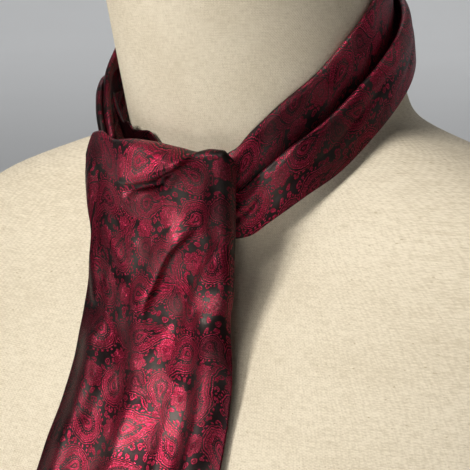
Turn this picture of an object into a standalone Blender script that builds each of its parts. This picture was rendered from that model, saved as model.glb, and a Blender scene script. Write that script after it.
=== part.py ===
"""A silk cravat, tied on a limbless linen-covered dress form.

+Z is up, the cravat faces -Y, and the wearer's left is +X. The origin is the centre of the form's base.
Lengths below are in millimetres, and every mesh is made in metres by MM.
"""

import math

import bmesh
import bpy
import numpy as np

MM = 0.001

# The neck is a slightly tapered cylinder that leans forward, and its ring is where the collar would sit
NECK_RING = np.array([0.0, -15.0, 560.0])
NECK_LEAN = math.radians(20)
NECK_RADIUS = 62.0
NECK_TAPER = 0.045
NECK_UP = np.array([0.0, -math.sin(NECK_LEAN), math.cos(NECK_LEAN)])
NECK_FRONT = np.array([0.0, -math.cos(NECK_LEAN), -math.sin(NECK_LEAN)])
NECK_SIDE = np.array([1.0, 0.0, 0.0])

# The dress form
FORM_HEIGHT = 616.0
FORM_SEGMENTS = 44
FORM_BLEND = 14
FORM_EDGE = 5.0

# The cloth: a wall of one thickness, with a gap where one layer lies on another
CLOTH = 1.2
LAYER = 1.9
FOLD_STEPS = 4

# The front blade's roll over the top of the wrap, and how far it runs down behind it
ROLL_RADIUS = 3.6
ROLL_LEAST = 1.1
ROLL_STEPS = 5
BACK_RUN = 18.0
BACK_LEAST = 1.2

# The turn of the blade's right edge, which opens out flat over these drops below the roll
SIDE_RADIUS = 3.2
SIDE_RETURN = 2.5
SIDE_FADE = (55.0, 105.0)

# How far the blades hang, and the pointed hem that both have
BLADE_COLUMNS = 27
BLADE_DROP = 350.0
UNDER_DROP = 272.0
BLADE_POINT = 68.0
POINT_SLOPE = 1.2
POINT_START = 0.45

# The drops over which the crest's own shape fades out of the rows, and the folds come in
CREST_FADE = (15.0, 160.0)
FOLD_FADE = (0.0, 10.0)

# The wrap's top edge under the roll, how far it ducks beside the roll, its height and its gap to the band
WRAP_TOP = 2.2
WRAP_DUCK = 9.7
WRAP_HEIGHT = 36.0
WRAP_GAP = 0.7

TORSO_COLUMNS = ("z", "half_width", "front", "back", "power")
TORSO = (
    (0, 164, -106, 100, 2.3),
    (60, 157, -103, 90, 2.3),
    (130, 151, -100, 78, 2.3),
    (200, 156, -104, 80, 2.3),
    (260, 165, -110, 90, 2.4),
    (310, 174, -113, 100, 2.4),
    (345, 182, -108, 108, 2.5),
    (378, 190, -96, 112, 2.5),
    (400, 195, -84, 112, 2.5),
    (420, 198, -73, 111, 2.5),
    (440, 199, -61, 108, 2.4),
    (455, 199, -51, 105, 2.3),
    (472, 196, -42, 100, 2.2),
    (483, 184, -40, 95, 2.1),
    (494, 156, -37, 88, 2.0),
    (504, 124, -30, 82, 2.0),
    (513, 94, -24, 76, 2.0),
    (521, 64, -20, 70, 2.0),
    (532, 30, -16, 56, 2.0),
    (545, 12, -20, 20, 2.0),
)

# Where the neckband's top edge runs round the neck, from the throat (0) to the centre back (180)
EDGE_COLUMNS = ("angle", "top", "height")
BAND_EDGE = (
    (0, -34, 33),
    (12, -31.5, 35),
    (24, -27.4, 38),
    (32, -20.3, 40),
    (47, -9.8, 42),
    (60, -3.4, 43),
    (80, 6.7, 43),
    (100, 13.6, 43),
    (130, 20, 43),
    (180, 23, 43),
)

# How far each pleat stands off the neck, and how far the second pleat's edge lies below the first's
PLEAT_COLUMNS = ("angle", "first", "second", "drop", "low", "turn_in", "sink")
LEFT_PLEATS = (
    (0, 2.9, 6.8, 17, 6.2, 8, 0),
    (24, 2.9, 6.9, 18, 6.4, 12, 0),
    (60, 3.0, 7.4, 18.6, 7.0, 13, 0),
    (85, 3.0, 8.6, 18.8, 7.6, 13, 0),
    (110, 3.0, 9.0, 18.8, 7.6, 13, 0),
    (180, 3.0, 7.0, 18.6, 6.4, 13, 0),
)
RIGHT_PLEATS = (
    (31, 12.2, 16.1, 1.8, 12.5, 3, 6.0),
    (35, 11.2, 15.1, 1.7, 12.2, 3, 2.0),
    (40, 10.0, 13.9, 1.6, 11.5, 3, 0),
    (50, 8.0, 11.9, 2.0, 9.8, 3, 0),
    (60, 6.9, 10.9, 5.0, 9.0, 4, 0),
    (70, 4.6, 8.9, 12.0, 8.0, 8, 0),
    (85, 3.2, 7.4, 18.0, 7.0, 12, 0),
    (180, 3.0, 7.0, 18.6, 6.4, 13, 0),
)
HIDDEN_FOLD = 8.0

# Where the two halves end at the throat (degrees), and the gap between them at the centre back
LEFT_END = 7.0
RIGHT_END = 31.5
SEAM_GAP = 0.42

# The top edge of the cloth between neck and knot
INNER_COLUMNS = ("angle", "top", "off", "low")
INNER_EDGE = (
    (-55, -20, 5.3, -30),
    (-52, -12, 5.6, -31),
    (-48, -14, 5.6, -33),
    (-43, -18, 5.2, -40),
    (-38, -20.5, 4.8, -48),
    (-34, -20, 4.8, -52),
    (-30, -17.8, 5.0, -55),
    (-27, -17.6, 5.2, -57),
    (-24, -18.9, 5.5, -58),
    (-20, -19.0, 5.7, -60),
    (-16, -18.6, 5.7, -61),
    (-13, -20.3, 5.5, -61),
    (-10.5, -25, 5.1, -62),
    (-7, -34, 4.5, -62),
    (2, -38, 4.0, -62),
)

# The front blade: its edges, the depth of its middle and how much it bows back to its edges
BLADE_TABLE_COLUMNS = ("z", "left", "right", "front", "bow")
BLADE = (
    (150, -60, 51, -114.5, 0.0008),
    (230, -61, 51, -115.5, 0.0008),
    (300, -59, 48, -116.0, 0.0008),
    (340, -57, 45, -113.2, 0.0009),
    (378, -54, 42, -100.4, 0.0011),
    (400, -52, 39, -90.4, 0.0015),
    (420, -50, 37, -85.4, 0.0023),
    (440, -47.5, 35.5, -84.0, 0.0031),
    (457, -44.5, 34.8, -83.6, 0.0038),
    (471, -43, 34.5, -83.3, 0.0043),
    (484, -46, 34.5, -83.0, 0.0045),
    (494, -50, 34.5, -82.8, 0.0045),
    (504, -52.5, 34.5, -82.6, 0.0045),
    (515, -51.5, 34.5, -82.4, 0.0045),
)

# The roll's top edge, from the wearer's right to the left, and how fully it rolls there
CREST_LEVEL = 515.0
CREST_COLUMNS = ("x", "level", "roll")
CREST = (
    (-51.5, 508, 0.0),
    (-49, 513, 0.0),
    (-45, 518, 0.0),
    (-39, 519, 0.0),
    (-33, 516.8, 0.0),
    (-26, 515, 0.1),
    (-17, 515.3, 1.0),
    (10, 514.6, 1.0),
    (18, 513.8, 1.0),
    (25, 515.2, 0.9),
    (31, 515.0, 0.5),
    (34.5, 513.0, 0.1),
)

# The blade's largest folds: each ridge's ends, how far it bends sideways, its half width on its left and
# on its right, seen along it, and its height
FOLD_COLUMNS = ("x0", "z0", "x1", "z1", "bend", "near", "far", "height")
BLADE_FOLDS = (
    (-24, 503.5, 13, 512.0, 1.6, 6.5, 4.6, 4.2),
    (17, 511, -17, 490.5, -2.4, 7.0, 4.4, 4.8),
    (28, 511, 26, 470, 1.0, 7.0, 6.0, 2.4),
    (18, 485, -6, 452, 3.0, 5.2, 8.5, 4.4),
    (-7, 445, -14, 330, -3.0, 8.0, 7.0, 4.4),
    (-46, 500, -38, 446, 2.0, 6.0, 5.0, 2.6),
    (-36, 425, -45, 205, 3.0, 7.0, 9.0, 5.2),
    (29, 440, 36, 215, -3.0, 8.0, 7.0, 5.6),
    (8, 345, 11, 190, 2.5, 8.0, 7.0, 4.2),
    (-22, 300, -27, 200, -2.0, 6.0, 6.0, 3.0),
)

# The edges of the blade beneath, which follows the front one
UNDER_TABLE_COLUMNS = ("z", "left", "right")
UNDER = (
    (180, -44, 46),
    (300, -46, 45),
    (400, -40, 37),
    (440, -35, 31),
    (470, -28, 25),
)
UNDER_TOP = 465.0

# Colours as linear RGB
SILK_RED = (0.19, 0.008, 0.03, 1)
SILK_DEEP = (0.10, 0.006, 0.018, 1)
LINEN = (0.67, 0.57, 0.43, 1)


def clear_scene():
    for obj in list(bpy.data.objects):
        bpy.data.objects.remove(obj, do_unlink=True)


def smooth(at, xs, ys):
    """A curve through the points (xs, ys) that never overshoots them."""
    xs = np.asarray(xs, float)
    ys = np.asarray(ys, float)
    step = np.diff(xs)
    slope = np.diff(ys) / step
    tangent = np.zeros(len(xs))
    same = slope[:-1] * slope[1:] > 0
    both = slope[:-1] + slope[1:]
    tangent[1:-1][same] = (2 * slope[:-1] * slope[1:])[same] / both[same]
    tangent[0] = slope[0]
    tangent[-1] = slope[-1]
    at = np.clip(np.asarray(at, float), xs[0], xs[-1])
    i = np.clip(np.searchsorted(xs, at, side="right") - 1, 0, len(step) - 1)
    h = step[i]
    t = (at - xs[i]) / h
    return (
        ys[i] * (1 + 2 * t) * (1 - t) ** 2
        + h * tangent[i] * t * (1 - t) ** 2
        + ys[i + 1] * t * t * (3 - 2 * t)
        + h * tangent[i + 1] * t * t * (t - 1)
    )


def read(table, columns, name, at):
    """The value of one named column, read between the table's rows by its first column."""
    rows = np.array(table, float)
    return smooth(at, rows[:, 0], rows[:, columns.index(name)])


def ramp(low, high, value):
    """0 below low, 1 above high, and smooth between."""
    t = np.clip((value - low) / (high - low), 0, 1)
    return t * t * (3 - 2 * t)


def neck_point(angle, along, off):
    """The point at an angle round the neck (degrees), a height along it and a distance off it."""
    turn = np.radians(angle)
    radius = NECK_RADIUS - NECK_TAPER * along + off
    return (
        NECK_RING
        + np.multiply.outer(along, NECK_UP)
        + np.multiply.outer(radius * np.sin(turn), NECK_SIDE)
        + np.multiply.outer(radius * np.cos(turn), NECK_FRONT)
    )


def material(name, colour, roughness, sheen=0.0):
    made = bpy.data.materials.new(name)
    made.use_nodes = True
    shader = made.node_tree.nodes["Principled BSDF"]
    shader.inputs["Base Color"].default_value = colour
    shader.inputs["Roughness"].default_value = roughness
    shader.inputs["Metallic"].default_value = 0.0
    shader.inputs["Sheen Weight"].default_value = sheen
    made.diffuse_color = colour
    return made


def mesh_object(name, points, faces, finish):
    mesh = bpy.data.meshes.new(name)
    mesh.from_pydata([tuple(point) for point in np.asarray(points) * MM], [], faces)
    work = bmesh.new()
    work.from_mesh(mesh)
    bmesh.ops.recalc_face_normals(work, faces=work.faces)
    work.to_mesh(mesh)
    work.free()
    mesh.shade_smooth()
    mesh.set_sharp_from_angle(angle=math.radians(50))
    obj = bpy.data.objects.new(name, mesh)
    bpy.context.scene.collection.objects.link(obj)
    obj.data.materials.append(finish)
    return obj


def grid_normals(grid):
    rows = np.gradient(grid, axis=0)
    columns = np.gradient(grid, axis=1)
    normal = np.cross(rows, columns)
    return normal / np.linalg.norm(normal, axis=2, keepdims=True)


def wall(name, grid, finish, thickness=CLOTH):
    """A closed wall of one thickness, half of it on each side of a grid of points."""
    rows, columns, _ = grid.shape
    out = grid_normals(grid) * thickness / 2
    points = np.concatenate([(grid + out).reshape(-1, 3), (grid - out).reshape(-1, 3)])
    back = rows * columns

    def at(row, column, side):
        return side * back + row * columns + column

    faces = []
    for row in range(rows - 1):
        for column in range(columns - 1):
            for side in (0, 1):
                corners = [
                    at(row, column, side),
                    at(row, column + 1, side),
                    at(row + 1, column + 1, side),
                    at(row + 1, column, side),
                ]
                faces.append(corners[::-1] if side else corners)
    around = [(0, column) for column in range(columns)]
    around += [(row, columns - 1) for row in range(1, rows)]
    around += [(rows - 1, column) for column in range(columns - 2, -1, -1)]
    around += [(row, 0) for row in range(rows - 2, 0, -1)]
    for here, there in zip(around, around[1:] + around[:1]):
        faces.append([at(*here, 0), at(*here, 1), at(*there, 1), at(*there, 0)])
    return mesh_object(name, points, faces, finish)


def neck_axis_y(level):
    """Where the neck's axis crosses a level, as a distance from the origin along Y."""
    return NECK_RING[1] + (NECK_RING[2] - level) * math.tan(NECK_LEAN)


def form_centre(level):
    high, low = 440.0, 340.0
    return neck_axis_y(max(level, high)) * ramp(low, high, level)


def neck_reach(turns, level, centre):
    """How far the leaning neck's surface is from (0, centre), for each direction at a level."""
    reach = np.full(len(turns), NECK_RADIUS)
    shift = neck_axis_y(level) - centre
    across = np.sin(turns)
    ahead = -np.cos(turns) * math.cos(NECK_LEAN)
    start = -shift * math.cos(NECK_LEAN)
    for _ in range(6):
        y = centre - np.cos(turns) * reach
        along = -(y - NECK_RING[1]) * math.sin(NECK_LEAN)
        along = along + (level - NECK_RING[2]) * math.cos(NECK_LEAN)
        radius = NECK_RADIUS - NECK_TAPER * along
        a = across**2 + ahead**2
        b = 2 * ahead * start
        c = start**2 - radius**2
        reach = (-b + np.sqrt(np.maximum(b * b - 4 * a * c, 0))) / (2 * a)
    return reach


def torso_reach(turns, level, centre):
    half_width = read(TORSO, TORSO_COLUMNS, "half_width", level)
    front = centre - read(TORSO, TORSO_COLUMNS, "front", level)
    back = read(TORSO, TORSO_COLUMNS, "back", level) - centre
    power = read(TORSO, TORSO_COLUMNS, "power", level)
    depth = np.where(np.cos(turns) > 0, front, back)
    across = (np.abs(np.sin(turns)) / half_width) ** power
    along = (np.abs(np.cos(turns)) / depth) ** power
    return (across + along) ** (-1 / power)


def form_ring(level):
    """The points round the dress form at a level: neck and torso, joined by a soft hollow."""
    turns = np.linspace(0, 2 * math.pi, FORM_SEGMENTS, endpoint=False)
    centre = form_centre(level)
    neck_share = ramp(430, 470, level)
    torso_share = 1 - ramp(532, 545, level)
    neck = neck_reach(turns, level, centre) * max(neck_share, 0.01)
    torso = torso_reach(turns, level, centre) * max(torso_share, 0.01)
    reach = (neck**FORM_BLEND + torso**FORM_BLEND) ** (1 / FORM_BLEND)
    ring = np.empty((FORM_SEGMENTS, 3))
    ring[:, 0] = np.sin(turns) * reach
    ring[:, 1] = centre - np.cos(turns) * reach
    ring[:, 2] = level
    return ring


def dress_form(finish):
    levels = [0, 45, 90, 135, 180, 225, 265, 300, 330, 355, 378, 398, 416, 432, 446, 458, 468]
    levels += [476, 483, 489, 495, 501, 506, 511, 516, 521, 527, 535, 547, 575, FORM_HEIGHT - FORM_EDGE]
    rings = [form_ring(float(level)) for level in levels]
    for share in (0.5, 1.0):
        lift = FORM_EDGE * math.sin(share * math.pi / 2)
        inset = FORM_EDGE * (1 - math.cos(share * math.pi / 2))
        ring = form_ring(FORM_HEIGHT - FORM_EDGE + lift)
        middle = ring.mean(axis=0)
        ring = middle + (ring - middle) * (1 - inset / NECK_RADIUS)
        rings.append(ring)
    points = np.concatenate(rings)
    faces = []
    for row in range(len(rings) - 1):
        for column in range(FORM_SEGMENTS):
            beside = (column + 1) % FORM_SEGMENTS
            low = row * FORM_SEGMENTS
            high = low + FORM_SEGMENTS
            faces.append([low + column, low + beside, high + beside, high + column])
    top = (len(rings) - 1) * FORM_SEGMENTS
    faces.append(list(range(FORM_SEGMENTS))[::-1])
    faces.append([top + column for column in range(FORM_SEGMENTS)])
    return mesh_object("dress_form", points, faces, finish)


def fold_arc(middle, drop, radius, over):
    """A half turn of cloth from one layer to the next outside it, over a top edge or under a low one."""
    turns = np.linspace(math.pi, 0, FOLD_STEPS + 1)
    way = -1 if over else 1
    return [(middle + radius * math.cos(t), drop + way * radius * math.sin(t)) for t in turns]


def pleat_section(first, second, drop, low, turn_in, height):
    """The neckband's section as (distance off the neck, distance below the top edge) points.

    The cloth turns in at the top, runs down the first pleat, folds up behind the second and runs down it.
    """
    half = LAYER / 2
    inner = first - LAYER
    back = second - LAYER
    section = [(inner, turn_in), (inner, turn_in / 2 + half / 2)]
    section += fold_arc(inner + half, half, half, True)
    section += [(first + 0.3, drop * 0.5 + 3), (first, drop + 1)]
    hidden = (back - first) / 2
    section += fold_arc(first + hidden, drop + HIDDEN_FOLD, hidden, False)
    section += [(back, drop + HIDDEN_FOLD / 2)]
    section += fold_arc(back + half, drop + half, half, True)
    rest = height - drop
    for share, belly in ((0.25, 0.5), (0.5, 0.6), (0.75, 0.4), (1.0, 0.0)):
        section.append((second + (low - second) * share + belly, drop + rest * share))
    return np.array(section)


def neckband(name, side, pleats, angles, finish):
    """Half of the pleated neckband: side is 1 for the wearer's left and -1 for the right."""
    grid = []
    for angle in angles:
        values = [read(pleats, PLEAT_COLUMNS, key, angle) for key in PLEAT_COLUMNS[1:-1]]
        height = read(BAND_EDGE, EDGE_COLUMNS, "height", angle)
        top = read(BAND_EDGE, EDGE_COLUMNS, "top", angle) - read(pleats, PLEAT_COLUMNS, "sink", angle)
        section = pleat_section(*values, height)
        grid.append(neck_point(np.full(len(section), side * angle), top - section[:, 1], section[:, 0]))
    return wall(name, np.array(grid), finish)


def neckbands(finish):
    seam_angle = 180 - math.degrees(SEAM_GAP / 2 / NECK_RADIUS)
    steps = (37, 42, 47, 52, 58, 65, 72, 79, 86, 94, 103, 113, 124, 135, 146, 157, 168)
    left = (LEFT_END, 13, 19, 25, 31) + steps + (seam_angle,)
    right = (RIGHT_END,) + steps + (seam_angle,)
    neckband("neckband_left", 1, LEFT_PLEATS, left, finish)
    neckband("neckband_right", -1, RIGHT_PLEATS, right, finish)


def knot_inner(finish):
    angles = np.linspace(INNER_EDGE[0][0], INNER_EDGE[-1][0], 23)
    top, off, low = (read(INNER_EDGE, INNER_COLUMNS, key, angles) for key in INNER_COLUMNS[1:])
    grid = []
    for share in np.linspace(0, 1, 8):
        along = top + (low - top) * share
        lean = off * (1 - 0.45 * share) - 0.6 * (1 - share) ** 4
        grid.append([neck_point(a, s, o) for a, s, o in zip(angles, along, lean)])
    return wall("knot_inner", np.array(grid), finish)


def blade_depth(x, z):
    """The Y of the blade's middle surface without its folds."""
    front = read(BLADE, BLADE_TABLE_COLUMNS, "front", z)
    bow = read(BLADE, BLADE_TABLE_COLUMNS, "bow", z)
    return front + bow * x * x


def fold_height(x, z):
    """How far the folds push the blade forward at (x, z)."""
    raised = np.zeros(np.broadcast(x, z).shape)
    for row in BLADE_FOLDS:
        fold = dict(zip(FOLD_COLUMNS, row))
        dx = fold["x1"] - fold["x0"]
        dz = fold["z1"] - fold["z0"]
        length = math.hypot(dx, dz)
        along = ((x - fold["x0"]) * dx + (z - fold["z0"]) * dz) / length
        across = ((x - fold["x0"]) * dz - (z - fold["z0"]) * dx) / length
        across = across - fold["bend"] * np.sin(math.pi * np.clip(along / length, 0, 1))
        width = np.where(across > 0, fold["far"], fold["near"])
        end = np.maximum(np.maximum(-along, along - length), 0) / fold["near"]
        raised = raised + fold["height"] * np.exp(-((across / width) ** 2) - end**2)
    return raised


def blade_edges(share, z):
    left = read(BLADE, BLADE_TABLE_COLUMNS, "left", z)
    right = read(BLADE, BLADE_TABLE_COLUMNS, "right", z)
    return left + (right - left) * share


def blade_columns():
    """Each column's share of the way across, its turn round the right edge and its run behind it."""
    flat = [(share, 0.0, 0.0) for share in np.linspace(0, 1, BLADE_COLUMNS)]
    turned = [(1.0, math.radians(angle), 0.0) for angle in (30, 60, 90)]
    return np.array(flat + turned + [(1.0, math.radians(90), SIDE_RETURN)])


def front_blade(finish):
    share, side_turn, side_run = blade_columns().T
    turned_x = SIDE_RADIUS * np.sin(side_turn) - SIDE_RADIUS
    turned_y = SIDE_RADIUS * (1 - np.cos(side_turn)) + side_run
    flat_x = SIDE_RADIUS * side_turn - SIDE_RADIUS + side_run
    crest_x = blade_edges(share, CREST_LEVEL) + turned_x * share
    roll = read(CREST, CREST_COLUMNS, "roll", crest_x) * (1 - np.sin(side_turn))
    radius = ROLL_LEAST + (ROLL_RADIUS - ROLL_LEAST) * roll
    back_run = BACK_LEAST + (BACK_RUN - BACK_LEAST) * roll
    crest = read(CREST, CREST_COLUMNS, "level", crest_x) - 0.8 * turned_y - 0.6 * side_run
    centre = crest - radius
    front = blade_depth(crest_x, centre) + turned_y
    rise = BLADE_POINT * np.abs(2 * share - 1) + POINT_SLOPE * (flat_x + SIDE_RADIUS)
    grid = []
    for part in (1.0, 0.6, 0.2):
        grid.append(np.stack([crest_x, front + 2 * radius, centre - back_run * part], axis=1))
    for turn in np.linspace(0, math.pi, ROLL_STEPS + 1)[:-1]:
        y = front + radius * (1 + math.cos(turn))
        grid.append(np.stack([crest_x, y, centre + radius * math.sin(turn)], axis=1))
    drops = list(np.linspace(0, 72, 24)) + list(np.linspace(81, BLADE_DROP, 22))
    for drop in drops:
        point = ramp(POINT_START, 1.0, drop / BLADE_DROP) * rise
        level = centre + (CREST_LEVEL - ROLL_RADIUS - centre) * ramp(*CREST_FADE, drop)
        z = level - drop + point
        flat = ramp(*SIDE_FADE, drop)
        x = blade_edges(share, z) + (turned_x * (1 - flat) + flat_x * flat) * share
        settle = ramp(0, 30, drop)
        x = crest_x * (1 - settle) + x * settle
        y = blade_depth(x, z) + turned_y * (1 - flat) - fold_height(x, z) * ramp(*FOLD_FADE, drop)
        grid.append(np.stack([x, y, z], axis=1))
    return wall("front_blade", np.array(grid), finish)


def knot_wrap(finish):
    share = np.linspace(0.10, 0.93, 16)
    x = blade_edges(share, CREST_LEVEL)
    roll = read(CREST, CREST_COLUMNS, "roll", x)
    start = read(CREST, CREST_COLUMNS, "level", x) - WRAP_TOP - WRAP_DUCK * (1 - ramp(0.3, 0.55, roll))
    joined = 1 - ramp(share[0], share[3], share)[:, None]
    seam = RIGHT_END - math.degrees(WRAP_GAP / NECK_RADIUS)
    edge_top = read(BAND_EDGE, EDGE_COLUMNS, "top", seam) - read(RIGHT_PLEATS, PLEAT_COLUMNS, "sink", seam)
    edge_height = read(BAND_EDGE, EDGE_COLUMNS, "height", seam)
    edge_drop = read(RIGHT_PLEATS, PLEAT_COLUMNS, "drop", seam)
    edge_off = [read(RIGHT_PLEATS, PLEAT_COLUMNS, key, seam) for key in ("second", "low")]
    grid = []
    for down in np.linspace(0, 1, 8):
        z = start - WRAP_HEIGHT * down
        y = blade_depth(x, z) + LAYER
        free = np.stack([x, y, z], axis=1)
        off = edge_off[0] + (edge_off[1] - edge_off[0]) * down
        held = neck_point(-seam, edge_top - edge_drop - (edge_height - edge_drop) * down, off)
        grid.append(held * joined + free * (1 - joined))
    return wall("knot_wrap", np.array(grid), finish)


def under_blade(finish):
    across = np.linspace(0, 1, 11)
    grid = []
    for drop in np.linspace(0, UNDER_DROP, 22):
        share = drop / UNDER_DROP
        z = UNDER_TOP - drop + BLADE_POINT * np.abs(2 * across - 1) * ramp(POINT_START, 1.0, share)
        left = read(UNDER, UNDER_TABLE_COLUMNS, "left", z)
        right = read(UNDER, UNDER_TABLE_COLUMNS, "right", z)
        x = left + (right - left) * across
        y = blade_depth(x, z) + LAYER
        grid.append(np.stack([x, y, z], axis=1))
    return wall("under_blade", np.array(grid), finish)


def main():
    clear_scene()
    silk = material("burgundy_paisley_silk", SILK_RED, 0.38, sheen=0.3)
    shaded_silk = material("burgundy_silk_reverse", SILK_DEEP, 0.5, sheen=0.2)
    linen = material("cream_linen", LINEN, 0.9, sheen=0.1)
    dress_form(linen)
    neckbands(silk)
    knot_inner(shaded_silk)
    knot_wrap(shaded_silk)
    front_blade(silk)
    under_blade(silk)


main()
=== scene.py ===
"""The looks of a silk cravat on its linen dress form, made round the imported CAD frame.

+Z is up, the cravat faces -Y and the wearer's left is +X, as in the frame. Lengths are in millimetres, and
every mesh is made in metres by MM. The tables that place the silk repeat the ones of part.py.
"""

import math

import bmesh
import bpy
import numpy as np
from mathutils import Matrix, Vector


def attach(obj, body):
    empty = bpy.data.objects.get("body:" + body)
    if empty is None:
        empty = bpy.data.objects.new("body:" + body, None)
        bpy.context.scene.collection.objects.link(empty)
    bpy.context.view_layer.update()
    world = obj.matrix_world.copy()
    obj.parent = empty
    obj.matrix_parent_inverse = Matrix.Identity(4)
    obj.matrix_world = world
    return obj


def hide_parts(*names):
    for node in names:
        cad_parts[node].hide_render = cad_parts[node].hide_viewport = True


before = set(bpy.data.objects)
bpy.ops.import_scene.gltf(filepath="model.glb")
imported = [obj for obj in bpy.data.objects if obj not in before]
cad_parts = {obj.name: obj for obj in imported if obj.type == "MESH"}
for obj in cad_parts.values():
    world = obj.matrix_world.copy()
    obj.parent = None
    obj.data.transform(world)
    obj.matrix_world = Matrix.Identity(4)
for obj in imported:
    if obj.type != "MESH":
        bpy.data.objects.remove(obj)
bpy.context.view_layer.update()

MM = 0.001

# The camera: its angles, the point that it looks at, its distance and its lens
CAMERA_AZIMUTH = math.radians(38)
CAMERA_ELEVATION = math.radians(8)
CAMERA_TARGET = Vector((0.0, -0.0275, 0.4705))
CAMERA_DISTANCE = 1.2
CAMERA_LENS = 202.2
CAMERA_SENSOR = 36.0

# The neck, as part.py has it
NECK_RING = np.array([0.0, -15.0, 560.0])
NECK_LEAN = math.radians(20)
NECK_RADIUS = 62.0
NECK_TAPER = 0.045
NECK_UP = np.array([0.0, -math.sin(NECK_LEAN), math.cos(NECK_LEAN)])
NECK_FRONT = np.array([0.0, -math.cos(NECK_LEAN), -math.sin(NECK_LEAN)])
NECK_SIDE = np.array([1.0, 0.0, 0.0])

# The silk, two faces thick, and the distance from one of its layers to the next
SILK = 0.9
LAYER = 1.9
EDGE_LOOPS = (0.0, 0.12, 0.35, 0.75)

# The front blade's roll over the wrap, its turned right edge and its hem
ROLL_RADIUS = 3.6
ROLL_LEAST = 1.1
BACK_RUN = 18.0
BACK_LEAST = 1.2
SIDE_RADIUS = 3.2
SIDE_RETURN = 2.5
SIDE_FADE = (55.0, 105.0)
BLADE_DROP = 350.0
UNDER_DROP = 272.0
BLADE_POINT = 68.0
POINT_SLOPE = 1.2
POINT_START = 0.45
CREST_FADE = (15.0, 160.0)
FOLD_FADE = (0.0, 10.0)

# The wrap under the roll
WRAP_TOP = 2.2
WRAP_DUCK = 9.7
WRAP_HEIGHT = 36.0
WRAP_SEAM = 32.1

# Where the neckband ends on each side of the throat, in degrees from the front
LEFT_END = 7.0
RIGHT_END = 31.5
HIDDEN_FOLD = 8.0

EDGE_COLUMNS = ("angle", "top", "height")
BAND_EDGE = (
    (0, -34, 33),
    (12, -31.5, 35),
    (24, -27.4, 38),
    (32, -20.3, 40),
    (47, -9.8, 42),
    (60, -3.4, 43),
    (80, 6.7, 43),
    (100, 13.6, 43),
    (130, 20, 43),
    (180, 23, 43),
)

PLEAT_COLUMNS = ("angle", "first", "second", "drop", "low", "turn_in", "sink")
LEFT_PLEATS = (
    (0, 2.9, 6.8, 17, 7.6, 8, 0),
    (24, 2.9, 6.9, 18, 8.4, 12, 0),
    (60, 3.0, 7.4, 18.6, 7.8, 13, 0),
    (85, 3.0, 8.6, 18.8, 7.6, 13, 0),
    (110, 3.0, 9.0, 18.8, 7.6, 13, 0),
    (180, 3.0, 7.0, 18.6, 6.4, 13, 0),
)
RIGHT_PLEATS = (
    (31, 12.2, 16.1, 1.8, 12.5, 3, 6.0),
    (35, 11.2, 15.1, 1.7, 12.2, 3, 2.0),
    (40, 10.0, 13.9, 1.6, 11.5, 3, 0),
    (50, 8.0, 11.9, 2.0, 9.8, 3, 0),
    (60, 6.9, 10.9, 5.0, 9.0, 4, 0),
    (70, 4.6, 8.9, 12.0, 8.0, 8, 0),
    (85, 3.2, 7.4, 18.0, 7.0, 12, 0),
    (180, 3.0, 7.0, 18.6, 6.4, 13, 0),
)

INNER_COLUMNS = ("angle", "top", "off", "low")
INNER_EDGE = (
    (-55, -20, 5.3, -30),
    (-52, -12, 5.6, -31),
    (-48, -14, 5.6, -33),
    (-43, -18, 5.2, -40),
    (-38, -20.5, 4.8, -48),
    (-34, -20, 4.8, -52),
    (-30, -17.8, 5.0, -55),
    (-27, -17.6, 5.2, -57),
    (-24, -19.8, 5.2, -58),
    (-20, -19.6, 4.4, -60),
    (-16, -19.2, 3.2, -61),
    (-13, -21.3, 2.6, -61),
    (-10.5, -26, 2.6, -62),
    (-7, -34, 3.6, -62),
    (2, -38, 4.0, -62),
)

BLADE_TABLE_COLUMNS = ("z", "left", "right", "front", "bow")
BLADE = (
    (150, -60, 51, -114.5, 0.0008),
    (230, -61, 51, -115.5, 0.0008),
    (300, -59, 48, -116.0, 0.0008),
    (340, -57, 45, -113.2, 0.0009),
    (378, -54, 42, -100.4, 0.0011),
    (400, -52, 39, -90.4, 0.0015),
    (420, -50, 37, -85.4, 0.0023),
    (440, -47.5, 35.5, -84.0, 0.0031),
    (457, -44.5, 34.8, -83.6, 0.0038),
    (471, -43, 34.5, -83.3, 0.0043),
    (484, -46, 34.5, -83.0, 0.0045),
    (494, -50, 34.5, -82.8, 0.0045),
    (504, -52.5, 34.5, -82.6, 0.0045),
    (515, -51.5, 34.5, -82.4, 0.0045),
)

CREST_LEVEL = 515.0
CREST_COLUMNS = ("x", "level", "roll")
CREST = (
    (-51.5, 508, 0.0),
    (-49, 513, 0.0),
    (-45, 518, 0.0),
    (-39, 519, 0.0),
    (-33, 516.8, 0.0),
    (-26, 515, 0.1),
    (-17, 515.3, 1.0),
    (10, 514.6, 1.0),
    (18, 513.8, 1.0),
    (25, 515.2, 0.9),
    (31, 515.0, 0.5),
    (34.5, 513.0, 0.1),
)

# How far the roll swells up and forward where the cloth puffs over the wrap
SWELL_COLUMNS = ("x", "up", "forward")
SWELL = (
    (-33, 0, 0),
    (-26, 1.2, 1.8),
    (-15, 2.0, 3.2),
    (-4, 1.8, 3.2),
    (8, 0.7, 2.2),
    (17, 0, 0.7),
    (22, 0, 0),
)
LOBE = 0

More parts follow.
